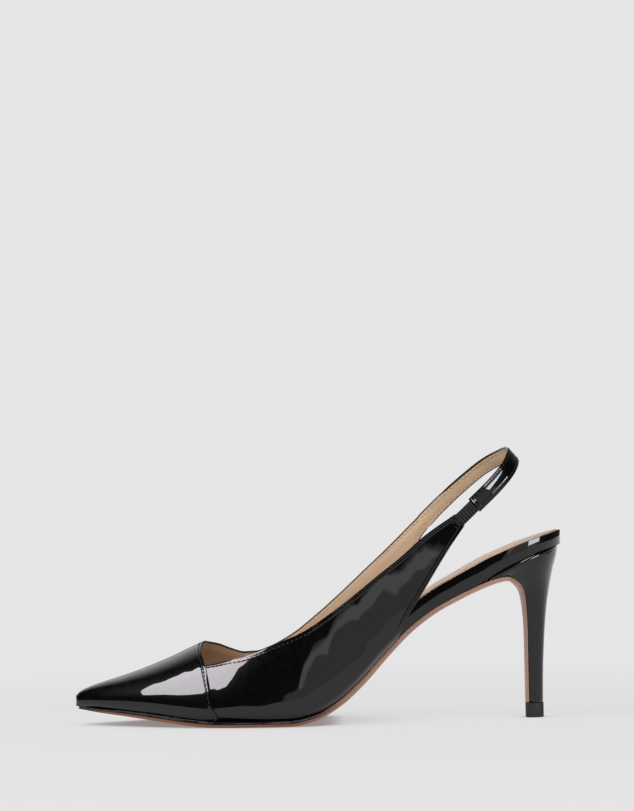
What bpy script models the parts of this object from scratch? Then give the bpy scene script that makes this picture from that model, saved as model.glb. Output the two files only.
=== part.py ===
"""A left slingback pump in black patent leather, with a pointed toe and a slim high heel.

The sizes are in millimetres and are written to the meshes in metres. X runs from the toe tip to
the back of the heel, +Y is the inner (medial) side, +Z is up, and the floor is at z = 0.
"""
import math

import bmesh
import bpy
import numpy as np
from mathutils import Vector

# Driving sizes, in mm
LENGTH = 241.6
CLEARANCE = 0.3
UPPER_WALL = 1.8
LAP_STEP = 0.8
LAP_FADE = 25.0
STRAP_WIDTH = 8.4
STRAP_THICKNESS = 2.2
ELASTIC_WIDTH = 6.5
ELASTIC_THICKNESS = 1.2
SOCK_THICKNESS = 1.0
LIFT_HEIGHT = 7.1
THROAT_X = 64.0
CORNER_LEAN = 1.0
THROAT_BOW = 1.7
SEAM_LEAN = 8.2
QUARTER_TOP_END = 188.4
QUARTER_BOTTOM_END = 192.9
FAR_TOP_END = 171.5
FAR_BOTTOM_END = 177.4
BOARD_START = 6.5
SEAT_START = 197.0
ROUND_START = 228.0

# Shape of the last's cross-section, as shares of its height and of its girth
WIDEST_SHARE = 0.32
WIDEST_MOST = 11.0
ROLL_SHARE = 0.22
TOE_FEATHER = 0.72
FEATHER_MARGIN = 2.4

# How finely the upper is divided
NEAR_COLUMNS = 7
TOP_COLUMNS = 4
NEAR_ROWS = 34
FAR_ROWS = 36

MM = 0.001


def table(names, *rows, squared=()):
    """A table with named columns, with the slopes that a smooth reading needs."""
    columns = dict(zip(names.split(), np.array(rows, float).T))
    columns["squared"] = squared
    key = names.split()[0]
    columns["key"] = key
    steps = np.diff(columns[key])
    for name in names.split()[1:]:
        if name in squared:
            columns[name] = columns[name] ** 2
        rises = np.diff(columns[name]) / steps
        slopes = np.concatenate(([rises[0]], np.zeros(len(steps) - 1), [rises[-1]]))
        for i in range(1, len(steps)):
            if rises[i - 1] * rises[i] > 0:
                near = 2 * steps[i] + steps[i - 1]
                far = steps[i] + 2 * steps[i - 1]
                slopes[i] = (near + far) / (near / rises[i - 1] + far / rises[i])
        columns["slope " + name] = slopes
    return columns


def read(columns, name, at):
    """Read a column between its rows, smoothly and without overshoot."""
    keys = columns[columns["key"]]
    at = min(max(at, keys[0]), keys[-1])
    i = min(int(np.searchsorted(keys, at, side="right")) - 1, len(keys) - 2)
    step = keys[i + 1] - keys[i]
    t = (at - keys[i]) / step
    values = columns[name]
    slopes = columns["slope " + name]
    result = (
        (2 * t ** 3 - 3 * t ** 2 + 1) * values[i]
        + (t ** 3 - 2 * t ** 2 + t) * step * slopes[i]
        + (3 * t ** 2 - 2 * t ** 3) * values[i + 1]
        + (t ** 3 - t ** 2) * step * slopes[i + 1]
    )
    if name in columns["squared"]:
        return math.sqrt(max(result, 0.0))
    return float(result)


# Widest half-widths of the upper, outer (lateral) and inner (medial) side
GIRTH = table(
    "x lateral medial",
    (0, 0, 0), (3, 4.6, 4.6), (8, 8.2, 8.4), (15, 12.3, 13.0), (25, 17.3, 18.3), (40, 24.3, 25.8),
    (55, 30.5, 32.3), (70, 35.0, 37.0), (82, 37.2, 38.0), (95, 38.0, 37.2), (110, 37.4, 34.6),
    (125, 35.0, 31.5), (140, 32.0, 28.6), (160, 28.8, 26.4), (180, 26.9, 25.8), (200, 26.0, 25.5),
    squared=("lateral", "medial"),
)

# Crown of the last and the fullness of its section; behind the throat the crown is open air
CROWN = table(
    "x z power",
    (0, 14.3, 2.3), (2, 16.4, 2.3), (6, 18.4, 2.3), (11, 20.2, 2.25), (23, 23.8, 2.2),
    (35, 27.9, 2.1), (47, 32.7, 2.0), (59, 38.2, 1.9), (64, 40.4, 1.9), (77, 48.5, 1.9),
    (90, 60.0, 1.9), (102, 75.0, 1.9), (113, 91.0, 1.9), (128, 112.0, 1.95), (143, 130.0, 2.0),
    (161, 153.0, 2.0), (185, 184.0, 2.0), (200, 203.0, 2.0),
)

# Underside of the outsole as far as the heel: flat on the floor under the ball, then the arch
TREAD = (
    (1.2, 7.9, 2.4, 0, 0), (4, 7.6, 2.6, 3.9, 3.9), (12, 6.5, 2.7, 9.2, 9.6),
    (25, 5.0, 2.7, 15.7, 16.7), (40, 3.1, 2.7, 22.7, 24.2), (58, 0.9, 2.7, 30.0, 31.8),
    (70, 0, 2.7, 33.9, 35.2), (82, 0, 2.7, 35.8, 36.4), (95, 0, 2.7, 36.4, 35.6),
    (106, 0, 2.7, 35.4, 33.6), (119, 2.6, 2.6, 32.8, 29.8), (131, 9.0, 2.5, 29.2, 25.8),
    (143, 19.5, 2.4, 25.8, 22.2), (155, 32.5, 2.3, 23.0, 19.8), (167, 44.4, 2.2, 21.4, 19.1),
    (179, 53.2, 2.2, 21.4, 20.1), (191, 59.6, 2.2, 22.4, 21.7), (199, 63.4, 2.2, 23.0, 22.6),
)

# Breast of the heel, with the outsole's flap over it, from the seat down to the tip
BREAST = (
    (205.5, 66.0, 2.2, 22.8, 240.1, 84.8), (210.0, 67.3, 2.1, 21.6, 240.0, 82.9),
    (214.0, 67.9, 1.9, 20.0, 239.6, 80.5), (216.4, 67.1, 1.7, 18.2, 238.8, 77.4),
    (218.8, 65.5, 1.5, 16.0, 237.8, 73.9), (220.7, 63.0, 1.4, 13.0, 236.7, 69.1),
    (221.7, 59.7, 1.3, 10.4, 235.6, 63.3), (222.5, 53.5, 1.3, 7.9, 234.3, 55.0),
    (222.9, 46.0, 1.3, 6.2, 233.4, 46.5), (223.0, 39.0, 1.3, 5.4, 232.8, 39.0),
    (223.0, 21.5, 1.3, 4.8, 231.9, 21.5), (223.0, 7.4, 1.3, 4.6, 231.6, 7.4),
)


def front_share(half):
    """How wide the heel's front face is, as a share of its widest."""
    return 0.8 + 0.2 * half / BREAST[0][3]


def sole_path():
    """The outsole's rows, keyed by the distance walked along its underside."""
    rows = list(TREAD)
    for x, z, thick, half, _back_x, _back_z in BREAST:
        edge = half * front_share(half)
        rows.append((x, z, thick, edge, edge))
    walked = 0.0
    keyed = []
    for i, row in enumerate(rows):
        if i:
            walked += math.dist(row[:2], rows[i - 1][:2])
        keyed.append((walked, *row))
    return table("walk x z thick lateral medial", *keyed, squared=("lateral", "medial"))


SOLE = sole_path()
BREAST_WALK = [float(w) for w in SOLE["walk"][-len(BREAST):]]
HEEL = table(
    "walk half back_x back_z",
    *[(walk, row[3], row[4], row[5]) for walk, row in zip(BREAST_WALK, BREAST)],
)


def sole_point(walk, lift):
    """A point at a height above the outsole's underside, square to it."""
    x = read(SOLE, "x", walk)
    z = read(SOLE, "z", walk)
    small = 0.05
    ahead = min(walk + small, float(SOLE["walk"][-1]))
    behind = max(walk - small, 0.0)
    along = Vector((
        read(SOLE, "x", ahead) - read(SOLE, "x", behind),
        read(SOLE, "z", ahead) - read(SOLE, "z", behind),
    )).normalized()
    return x - along.y * lift, z + along.x * lift


def sole_bed():
    """The upper face of the outsole, with the clearance above it, as a curve over x."""
    walks = np.linspace(0.0, BREAST_WALK[1], 160)
    points = [sole_point(w, read(SOLE, "thick", w) + CLEARANCE) for w in walks]
    return np.array(points).T


BED_X, BED_Z = sole_bed()


def bed(x):
    return float(np.interp(x, BED_X, BED_Z))


# Underside of the seat, which the heel carries
SEAT = table(
    "x z",
    (SEAT_START, bed(SEAT_START)), (203, 68.7), (211, 73.7), (221, 78.4), (229, 81.9),
    (237.5, 84.5), (LENGTH, 85.5),
)

# Insole board: its depth, and its half-widths
BOARD = table(
    "x depth lateral medial",
    (BOARD_START, 2.4, 0, 0), (9, 2.4, 3.4, 3.4), (15, 2.4, 7.2, 7.9), (25, 2.4, 12.2, 13.2),
    (40, 2.5, 19.0, 20.5), (55, 2.5, 25.2, 27.0), (70, 2.5, 29.9, 31.7), (82, 2.5, 32.0, 32.6),
    (95, 2.6, 32.6, 31.4), (110, 3.4, 31.0, 28.0), (125, 5.2, 28.0, 24.0), (140, 8.1, 24.4, 20.4),
    (155, 9.9, 21.8, 18.6), (170, 9.5, 21.2, 19.0), (185, 9.6, 22.0, 21.0),
    (197, 10.2, 23.3, 22.7), (203, 9.8, 23.8, 23.6), (211, 8.3, 24.1, 24.1),
    (221, 7.7, 23.3, 23.3), (229.5, 6.9, 20.0, 20.0), (236.6, 6.9, 13.6, 13.6), (LENGTH, 7.0, 0, 0),
    squared=("lateral", "medial"),
)

# Toplines, and the rear edges of the two quarters
NEAR_TOP = table(
    "x z",
    (65, 30.1), (71, 31.0), (77, 32.3), (83, 33.3), (89, 35.2), (101, 40.2), (113, 45.3),
    (125, 52.9), (137, 61.6), (149, 71.1), (161, 80.3), (173, 90.6), (188.4, 101.1),
)
NEAR_BACK = table(
    "x z",
    (156.9, 35.4), (160.9, 44.6), (164.9, 52.4), (170.8, 61.5), (179.7, 75.8), (185.6, 85.0),
    (192.9, 95.3),
)
FAR_TOP = table(
    "x z",
    (64, 40.4), (65, 39.9), (71, 37.8), (77, 35.0), (83, 33.2), (89, 33.4), (95, 35.3),
    (107, 41.6), (119, 50.8), (131, 61.2), (143, 72.3), (155, 83.4), (171.5, 99.4),
)
FAR_BACK = table(
    "x z",
    (152.5, 30.4), (158.5, 44.3), (163.8, 57.3), (167, 69.2), (169.8, 79.2), (173.5, 89.2),
    (177.4, 94.6),
)

# Middle line of the sling strap from the inner side round the heel, with its outward tilt
STRAP = (
    (175.2, 23.9, 97.4, 14), (184.5, 23.6, 106.5, 24), (193.0, 22.8, 114.2, 28),
    (204.6, 19.6, 123.6, 28), (212.8, 13.4, 128.4, 16), (218.3, 0.0, 130.2, 0),
    (215.8, -13.4, 123.6, -8), (208.9, -19.8, 115.3, -10), (197.9, -23.0, 104.9, -8),
)
ELASTIC = ((191.0, -25.4, 98.6), (194.2, -24.4, 101.5), (197.4, -23.2, 104.5))
STRAP_SLOPE = Vector((0.66, 0.0, -0.75))


def board_under(x):
    if x < SEAT_START:
        return bed(x)
    return read(SEAT, "z", x)


def side_name(side):
    return "lateral" if side < 0 else "medial"


def feather(x, side):
    """Half-width of the upper's lower edge, where it meets the sole."""
    name = side_name(side)
    widest = read(GIRTH, name, x)
    board = read(BOARD, name, x)
    if x < BOARD_START:
        return TOE_FEATHER * widest
    return min(max(board + FEATHER_MARGIN, TOE_FEATHER * widest), widest)


def widest_rise(height):
    """How high above the bed the section is widest: a share of it, levelling off."""
    rise = WIDEST_SHARE * height
    return rise / (1 + (rise / WIDEST_MOST) ** 3) ** (1 / 3)


def skin(x, share, side, inward=0.0):
    """A point of the upper's outside: share 0 is its lower edge, and 1 is the crown."""
    low = bed(x) if x < SEAT_START else board_under(x)
    height = read(CROWN, "z", x) - low
    widest = read(GIRTH, side_name(side), x)
    power = read(CROWN, "power", x)
    rise = widest_rise(height)
    if share < ROLL_SHARE:
        u = share / ROLL_SHARE
        tuck = widest - feather(x, side)
        y = widest - tuck * (1 - u) ** 2
        z = low + rise * u
        across = Vector((rise, -2 * tuck * (1 - u)))
    else:
        angle = (share - ROLL_SHARE) / (1 - ROLL_SHARE) * math.pi / 2
        cosine = max(math.cos(angle), 0.0)
        sine = max(math.sin(angle), 0.0)
        y = widest * cosine ** (2 / power)
        z = low + rise + (height - rise) * sine ** (2 / power)
        across = Vector(((height - rise) * cosine, widest * sine))
    if inward and across.length > 0:
        across.normalize()
        y -= across.x * inward
        z -= across.y * inward
    return Vector((x, side * y, z))


def share_at(x, z):
    """The share of the section that lies at height z."""
    low = bed(x) if x < SEAT_START else board_under(x)
    height = read(CROWN, "z", x) - low
    rise = widest_rise(height)
    if z <= low:
        return 0.0
    if z < low + rise:
        return ROLL_SHARE * (z - low) / rise
    ratio = min((z - low - rise) / (height - rise), 1.0)
    angle = math.asin(ratio ** (read(CROWN, "power", x) / 2))
    return ROLL_SHARE + (1 - ROLL_SHARE) * angle / (math.pi / 2)


def smooth_step(t):
    t = min(max(t, 0.0), 1.0)
    return t * t * (3 - 2 * t)


def blend(a, b, t):
    return a + (b - a) * t


def toe_stations(count):
    """Sections of the toe piece, close together at the rounded tip."""
    return [THROAT_X * (i / count) ** 1.6 for i in range(count + 1)]


def patch(bm, rows, columns, place, mark=None):
    """A grid of rows by columns, placed point by point; mark is a layer that keeps the row."""
    made = bmesh.ops.create_grid(bm, x_segments=rows - 1, y_segments=columns - 1, size=0.5)
    for vert in made["verts"]:
        i = round((vert.co.x + 0.5) * (rows - 1))
        j = round((vert.co.y + 0.5) * (columns - 1))
        vert.co = place(i, j)
        if mark:
            vert[mark] = i


def finish_mesh(name, bm, closed=True):
    bmesh.ops.remove_doubles(bm, verts=bm.verts[:], dist=0.02)
    if closed:
        bmesh.ops.recalc_face_normals(bm, faces=bm.faces[:])
    for vert in bm.verts:
        vert.co *= MM
    mesh = bpy.data.meshes.new(name)
    bm.to_mesh(mesh)
    bm.free()
    return mesh


def material(name, colour, roughness):
    made = bpy.data.materials.new(name)
    made.use_nodes = True
    shader = made.node_tree.nodes["Principled BSDF"]
    shader.inputs["Base Color"].default_value = (*colour, 1.0)
    shader.inputs["Roughness"].default_value = roughness
    shader.inputs["Metallic"].default_value = 0.0
    return made


def add_part(name, mesh, colour, roughness):
    part = bpy.data.objects.new(name, mesh)
    mesh.materials.append(material(name, colour, roughness))
    mesh.shade_smooth()
    mesh.set_sharp_from_angle(angle=math.radians(40))
    shoe.objects.link(part)
    part.parent = origin
    return part


def side_shares():
    """How the columns of one side are spread, from the lower edge over the corner to the crown."""
    corner = share_at(THROAT_X, read(NEAR_TOP, "z", THROAT_X + CORNER_LEAN))
    low = [corner * i / NEAR_COLUMNS for i in range(NEAR_COLUMNS)]
    return low + [blend(corner, 1.0, i / TOP_COLUMNS) for i in range(TOP_COLUMNS + 1)]


def toe_point(x, column, shares):
    """Points of one section of the toe piece, from the outer edge over the crown."""
    last = len(shares) - 1
    if column > last:
        return skin(x, shares[2 * last - column], 1)
    if column <= NEAR_COLUMNS:
        lean = blend(SEAM_LEAN, CORNER_LEAN, column / NEAR_COLUMNS) * (x / THROAT_X) ** 2
        return skin(x + lean, shares[column], -1)
    t = (column - NEAR_COLUMNS) / TOP_COLUMNS
    bow = THROAT_BOW * math.sin(math.pi * t) * smooth_step((x - 40) / (THROAT_X - 40))
    bow -= CORNER_LEAN * (1 - t) * (x / THROAT_X) ** 2
    return skin(x - bow, shares[column], -1)


def near_point(row, column, shares):
    """Points of the outer quarter, which starts a lap's depth under the toe piece."""
    if row == 0:
        return toe_point(THROAT_X, column, shares)
    s = 0.003 if row == 1 else (row - 1) / (NEAR_ROWS - 2)
    top_x = blend(THROAT_X + CORNER_LEAN, QUARTER_TOP_END, s)
    bottom_x = blend(THROAT_X + SEAM_LEAN, QUARTER_BOTTOM_END, s)
    low = 0.0
    if bottom_x > NEAR_BACK["x"][0]:
        low = share_at(bottom_x, read(NEAR_BACK, "z", bottom_x))
    high = share_at(top_x, read(NEAR_TOP, "z", top_x))
    t = column / NEAR_COLUMNS
    recess = LAP_STEP * (1 - smooth_step((top_x - THROAT_X) / LAP_FADE))
    return skin(blend(bottom_x, top_x, t), blend(low, high, t), -1, recess)


def far_point(row, column, shares):
    """Points of the inner quarter, which runs up into the sling strap."""
    s = (row / (FAR_ROWS - 1)) ** 0.9
    top_x = blend(THROAT_X, FAR_TOP_END, s)
    bottom_x = blend(THROAT_X, FAR_BOTTOM_END, s)
    low = 0.0
    if bottom_x > FAR_BACK["x"][0]:
        low = share_at(bottom_x, read(FAR_BACK, "z", bottom_x))
    high = share_at(top_x, read(FAR_TOP, "z", top_x)) if row else 1.0
    t = shares[len(shares) - 1 - column]
    return skin(blend(bottom_x, top_x, t), blend(low, high, t), 1)


def build_upper():
    """Toe piece and both quarters as one skin, thickened inwards."""
    shares = side_shares()
    stations = toe_stations(18)
    bm = bmesh.new()
    patch(bm, len(stations), 2 * len(shares) - 1, lambda i, j: toe_point(stations[i], j, shares))
    patch(bm, NEAR_ROWS, NEAR_COLUMNS + 1, lambda i, j: near_point(i, j, shares))
    patch(bm, FAR_ROWS, len(shares), lambda i, j: far_point(i, j, shares))
    mesh = finish_mesh("upper", bm, closed=False)
    upper = add_part("upper", mesh, (0.012, 0.012, 0.014), 0.12)
    wall = upper.modifiers.new("wall", "SOLIDIFY")
    wall.thickness = UPPER_WALL * MM
    wall.offset = -1.0
    return upper


def build_slab(name, stations, edge, top, under, columns, colour, roughness):
    """A sheet between an upper and an under face, as wide as its outline at each station."""
    bm = bmesh.new()
    row_mark = bm.verts.layers.int.new("row")

    def place(i, j):
        t = j / (columns - 1)
        return top(stations[i], blend(-edge(stations[i], -1), edge(stations[i], 1), t))

    patch(bm, len(stations), columns, place, row_mark)
    made = bmesh.ops.extrude_face_region(bm, geom=bm.faces[:])
    lower = {item for item in made["geom"] if isinstance(item, bmesh.types.BMVert)}
    for vert in bm.verts:
        if vert not in lower:
            vert.co = under(stations[vert[row_mark]], vert.co.y)
    return add_part(name, finish_mesh(name, bm), colour, roughness)


def spread(low, high, count, ease=1.0):
    return [low + (high - low) * (i / count) ** ease for i in range(count + 1)]


def sole_stations():
    last_walk = float(SOLE["walk"][-1])
    stations = spread(0.0, 24.0, 7, 1.6)
    stations += spread(24.0, BREAST_WALK[0], 34)[1:]
    stations += spread(BREAST_WALK[0], BREAST_WALK[6], 12)[1:]
    stations += spread(BREAST_WALK[6], last_walk, 8)[1:]
    return stations


def build_outsole():
    """Leather outsole with the flap that covers the heel's breast."""
    def top(walk, y):
        x, z = sole_point(walk, read(SOLE, "thick", walk))
        return Vector((x, y, z))

    def under(walk, y):
        x, z = sole_point(walk, 0.0)
        return Vector((x, y, z))

    def edge(walk, side):
        return read(SOLE, side_name(side), walk)

    return build_slab("outsole", sole_stations(), edge, top, under, 7, (0.35, 0.16, 0.09), 0.5)


def board_stations(count):
    toe = spread(BOARD_START, 20.0, 5, 1.7)
    middle = spread(20.0, ROUND_START, count)[1:]
    heel = [LENGTH - (LENGTH - ROUND_START) * (1 - i / 7) ** 1.8 for i in range(1, 8)]
    return toe + middle + heel


def board_top(x):
    return board_under(x) + read(BOARD, "depth", x)


def build_board():
    """Insole board, with the deep covered rim that shows at the seat."""
    return build_slab(
        "insole_board", board_stations(34),
        lambda x, side: read(BOARD, side_name(side), x),
        lambda x, y: Vector((x, y, board_top(x))),
        lambda x, y: Vector((x, y, board_under(x))),
        7, (0.012, 0.012, 0.014), 0.12,
    )


def build_sock():
    """Sheet that covers the board, a little smaller all round."""
    middle = (BOARD_START + LENGTH) / 2
    shrink_x, shrink_y = 0.985, 0.94

    def level(x, lift):
        return board_top(middle + (x - middle) * shrink_x) + lift

    def place(x, y, lift):
        return Vector((middle + (x - middle) * shrink_x, y, level(x, lift)))

    return build_slab(
        "sock", board_stations(30),
        lambda x, side: read(BOARD, side_name(side), x) * shrink_y,
        lambda x, y: place(x, y, CLEARANCE + SOCK_THICKNESS),
        lambda x, y: place(x, y, CLEARANCE),
        5, (0.68, 0.5, 0.36), 0.6,
    )


def heel_outline(share, half):
    """Half-width of the heel at a share of its depth, from the front face to the back."""
    widest_at = 0.3
    if share < widest_at:
        return half * (1 - (1 - front_share(half)) * ((widest_at - share) / widest_at) ** 2)
    return half * math.sqrt(max(1 - ((share - widest_at) / (1 - widest_at)) ** 2.2, 0.0))


def build_loft(name, rings, colour, roughness):
    """A solid through rings that run from the front corner, round the back, to the other."""
    bm = bmesh.new()
    count = len(rings[0])
    patch(bm, len(rings), count, lambda i, j: rings[i][j])
    patch(bm, len(rings), 2, lambda i, j: rings[i][0 if j else count - 1])
    for ring in (rings[0], rings[-1]):
        patch(bm, count // 2 + 1, 2, lambda i, j: ring[i] if j else ring[count - 1 - i])
    return add_part(name, finish_mesh(name, bm), colour, roughness)


def heel_ring(front, back, half, level=None):
    depth_shares = [1 - (1 - i / 9) ** 1.6 for i in range(10)]
    inner = []
    for share in depth_shares:
        x = blend(front[0], back[0], share)
        z = blend(front[1], back[1], share) if level is None else level(x)
        inner.append(Vector((x, heel_outline(share, half), z)))
    outer = [Vector((p.x, -p.y, p.z)) for p in reversed(inner[:-1])]
    return inner + outer


def build_heel():
    """Slim heel, hollowed at the back, that carries the seat on its upper face."""
    rings = []
    for walk in reversed([s for s in sole_stations() if s > BREAST_WALK[0] - 0.01]):
        front = sole_point(walk, read(SOLE, "thick", walk) + CLEARANCE)
        back = (read(HEEL, "back_x", walk), read(HEEL, "back_z", walk))
        rings.append(heel_ring(front, back, read(HEEL, "half", walk)))
    lip = rings[-1][0]
    half = BREAST[0][3]
    rings.append(heel_ring(
        (lip.x, 0.0), (LENGTH - 1.4, 0.0), half, lambda x: read(SEAT, "z", x) - CLEARANCE
    ))
    return build_loft("heel", rings, (0.012, 0.012, 0.014), 0.14)


def build_top_lift():
    """Replaceable tip of the heel, flat on the floor."""
    front_x = BREAST[-1][0] + CLEARANCE
    back_x = BREAST[-1][4] + 0.2
    half = BREAST[-1][3] + 0.1
    rings = [heel_ring((front_x, z), (back_x, z), half) for z in (0.0, LIFT_HEIGHT)]
    return build_loft("top_lift", rings, (0.02, 0.02, 0.02), 0.6)


def path_point(points, t):
    """A smooth path through all points, at t from 0 to 1."""
    place = t * (len(points) - 1)
    i = min(int(place), len(points) - 2)
    u = place - i
    here, ahead = np.array(points[i]), np.array(points[i + 1])
    before = np.array(points[i - 1]) if i else 2 * here - ahead
    after = np.array(points[i + 2]) if i + 2 < len(points) else 2 * ahead - here
    return 0.5 * (
        2 * here + (ahead - before) * u
        + (2 * before - 5 * here + 4 * ahead - after) * u ** 2
        + (3 * here - before - 3 * ahead + after) * u ** 3
    )


def width_direction(tilt):
    turn = math.radians(tilt)
    lean = STRAP_SLOPE.normalized()
    return Vector((lean.x * math.cos(turn), math.sin(turn), lean.z * math.cos(turn)))


def build_band(name, points, width, thickness, stations, columns, round_edge, colour, roughness):
    """A flat band along a path, its width laid along the strap's tilt, thickened both ways."""
    bm = bmesh.new()

    def place(i, j):
        x, y, z, tilt = path_point(points, i / (stations - 1))
        across = width_direction(tilt) * width * (j / (columns - 1) - 0.5)
        return Vector((x, y, z)) + across

    patch(bm, stations, columns, place)
    mesh = finish_mesh(name, bm, closed=False)
    band = add_part(name, mesh, colour, roughness)
    wall = band.modifiers.new("thickness", "SOLIDIFY")
    wall.thickness = thickness * MM
    wall.offset = 0.0
    if round_edge:
        edge = band.modifiers.new("rounded edges", "BEVEL")
        edge.width = round_edge * MM
        edge.segments = 1
        edge.limit_method = "ANGLE"
        edge.angle_limit = math.radians(50)
    return band


def build_strap():
    """Folded patent strap, in one piece from the inner quarter round the heel."""
    return build_band(
        "sling_strap", STRAP, STRAP_WIDTH, STRAP_THICKNESS, 44, 3, 0.6,
        (0.012, 0.012, 0.014), 0.12,
    )


def build_elastic():
    """Short elastic between the outer quarter and the strap."""
    points = [(*p, -6) for p in ELASTIC]
    return build_band(
        "elastic", points, ELASTIC_WIDTH, ELASTIC_THICKNESS, 5, 3, 0.0, (0.02, 0.02, 0.02), 0.8
    )


for old in list(bpy.data.objects):
    bpy.data.objects.remove(old, do_unlink=True)

shoe = bpy.data.collections.new("slingback_pump")
bpy.context.scene.collection.children.link(shoe)
origin = bpy.data.objects.new("shoe_origin", None)
origin.location = (-LENGTH / 2 * MM, 0.0, 0.0)
shoe.objects.link(origin)

build_outsole()
build_board()
build_sock()
build_upper()
build_heel()
build_top_lift()
build_strap()
build_elastic()
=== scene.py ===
import math

import bmesh
import bpy
import numpy as np
from mathutils import Matrix, Vector
from mathutils.kdtree import KDTree


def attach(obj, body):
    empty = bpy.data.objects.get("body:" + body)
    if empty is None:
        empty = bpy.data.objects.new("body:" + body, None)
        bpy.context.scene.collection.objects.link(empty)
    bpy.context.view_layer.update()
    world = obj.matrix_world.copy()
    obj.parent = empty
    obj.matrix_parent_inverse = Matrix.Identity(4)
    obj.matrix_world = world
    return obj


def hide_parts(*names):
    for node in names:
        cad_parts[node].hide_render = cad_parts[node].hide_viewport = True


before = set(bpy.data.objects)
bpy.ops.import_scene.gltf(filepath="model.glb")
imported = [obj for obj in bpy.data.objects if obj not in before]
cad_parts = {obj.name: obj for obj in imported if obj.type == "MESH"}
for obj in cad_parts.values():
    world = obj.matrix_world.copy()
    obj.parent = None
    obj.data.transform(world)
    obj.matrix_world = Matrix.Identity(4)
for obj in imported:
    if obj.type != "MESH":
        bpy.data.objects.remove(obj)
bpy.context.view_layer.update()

scene = bpy.context.scene

# Driving sizes of the shoe, in mm. They are the frame's, apart from what a render shows finer:
# the clearance, the sock, the widest line, the strap's crown and the sole under the toe.
MM = 0.001
LENGTH = 241.6
CLEARANCE = 0.06
NODE_GAP = 0.05
UPPER_WALL = 1.8
LAP_STEP = 0.8
LAP_FADE = 25.0
STRAP_WIDTH = 8.4
STRAP_CROWN = 0.4
ELASTIC_WIDTH = 6.5
SOCK_THICKNESS = 0.6
LIFT_HEIGHT = 7.1
THROAT_X = 64.0
CORNER_LEAN = 1.0
THROAT_BOW = 1.7
SEAM_LEAN = 8.2
QUARTER_TOP_END = 188.4
QUARTER_BOTTOM_END = 192.9
FAR_TOP_END = 171.5
FAR_BOTTOM_END = 177.4
BOARD_START = 6.5
SEAT_START = 197.0
ROUND_START = 228.0
WIDEST_SHARE = 0.32
WIDEST_MOST = 5.6
ROLL_SHARE = 0.22
TOE_FEATHER = 0.72
FEATHER_MARGIN = 2.4
LAP_UNDER = 3.0
HEEL_LIP = 1.4


def table(names, *rows, squared=()):
    """A table with named columns, with the slopes that a smooth reading needs."""
    columns = dict(zip(names.split(), np.array(rows, float).T))
    columns["squared"] = squared
    key = names.split()[0]
    columns["key"] = key
    steps = np.diff(columns[key])
    for name in names.split()[1:]:
        if name in squared:
            columns[name] = columns[name] ** 2
        rises = np.diff(columns[name]) / steps
        slopes = np.concatenate(([rises[0]], np.zeros(len(steps) - 1), [rises[-1]]))
        for i in range(1, len(steps)):
            if rises[i - 1] * rises[i] > 0:
                near = 2 * steps[i] + steps[i - 1]
                far = steps[i] + 2 * steps[i - 1]
                slopes[i] = (near + far) / (near / rises[i - 1] + far / rises[i])
        columns["slope " + name] = slopes
    return columns


def read(columns, name, at):
    """Read a column between its rows, smoothly and without overshoot."""
    keys = columns[columns["key"]]
    at = min(max(at, keys[0]), keys[-1])
    i = min(int(np.searchsorted(keys, at, side="right")) - 1, len(keys) - 2)
    step = keys[i + 1] - keys[i]
    t = (at - keys[i]) / step
    values = columns[name]
    slopes = columns["slope " + name]
    result = (
        (2 * t ** 3 - 3 * t ** 2 + 1) * values[i]
        + (t ** 3 - 2 * t ** 2 + t) * step * slopes[i]
        + (3 * t ** 2 - 2 * t ** 3) * values[i + 1]
        + (t ** 3 - t ** 2) * step * slopes[i + 1]
    )
    if name in columns["squared"]:
        return math.sqrt(max(result, 0.0))
    return float(result)


# Widest half-widths of the upper, outer (lateral) and inner (medial) side
GIRTH = table(
    "x lateral medial",
    (0, 0, 0), (3, 4.6, 4.6), (8, 8.2, 8.4), (15, 12.3, 13.0), (25, 17.3, 18.3), (40, 24.3, 25.8),
    (55, 30.5, 32.3), (70, 35.0, 37.0), (82, 37.2, 38.0), (95, 38.0, 37.2), (110, 37.4, 34.6),
    (125, 35.0, 31.5), (140, 32.0, 28.6), (160, 28.8, 26.4), (180, 26.9, 25.8), (200, 26.0, 25.5),
    squared=("lateral", "medial"),
)

# Crown of the last and the fullness of its section; behind the throat the crown is open air
CROWN = table(
    "x z power",
    (0, 14.3, 2.3), (2, 16.4, 2.3), (6, 18.4, 2.3), (11, 20.2, 2.25), (23, 23.8, 2.2),
    (35, 27.9, 2.1), (47, 32.7, 2.0), (59, 38.2, 1.9), (64, 40.4, 1.9), (77, 48.5, 1.9),
    (90, 60.0, 1.9), (102, 75.0, 1.9), (113, 91.0, 1.9), (128, 112.0, 1.95), (143, 130.0, 2.0),
    (161, 153.0, 2.0), (185, 184.0, 2.0), (200, 203.0, 2.0),
)

# Underside of the outsole as far as the heel: flat on the floor under the ball, then the arch
TREAD = (
    (1.2, 7.9, 1.3, 0, 0), (4, 7.6, 1.5, 3.9, 3.9), (12, 6.5, 1.9, 9.2, 9.6),
    (25, 5.0, 2.4, 15.7, 16.7), (40, 3.1, 2.7, 22.7, 24.2), (58, 0.9, 2.7, 30.0, 31.8),
    (70, 0, 2.7, 33.9, 35.2), (82, 0, 2.7, 35.8, 36.4), (95, 0, 2.7, 36.4, 35.6),
    (106, 0, 2.7, 35.4, 33.6), (119, 2.6, 2.6, 32.8, 29.8), (131, 9.0, 2.5, 29.2, 25.8),
    (143, 19.5, 2.4, 25.8, 22.2), (155, 32.5, 2.3, 23.0, 19.8), (167, 44.4, 2.2, 21.4, 19.1),
    (179, 53.2, 2.2, 21.4, 20.1), (191, 59.6, 2.2, 22.4, 21.7), (199, 63.4, 2.2, 23.0, 22.6),
)

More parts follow.
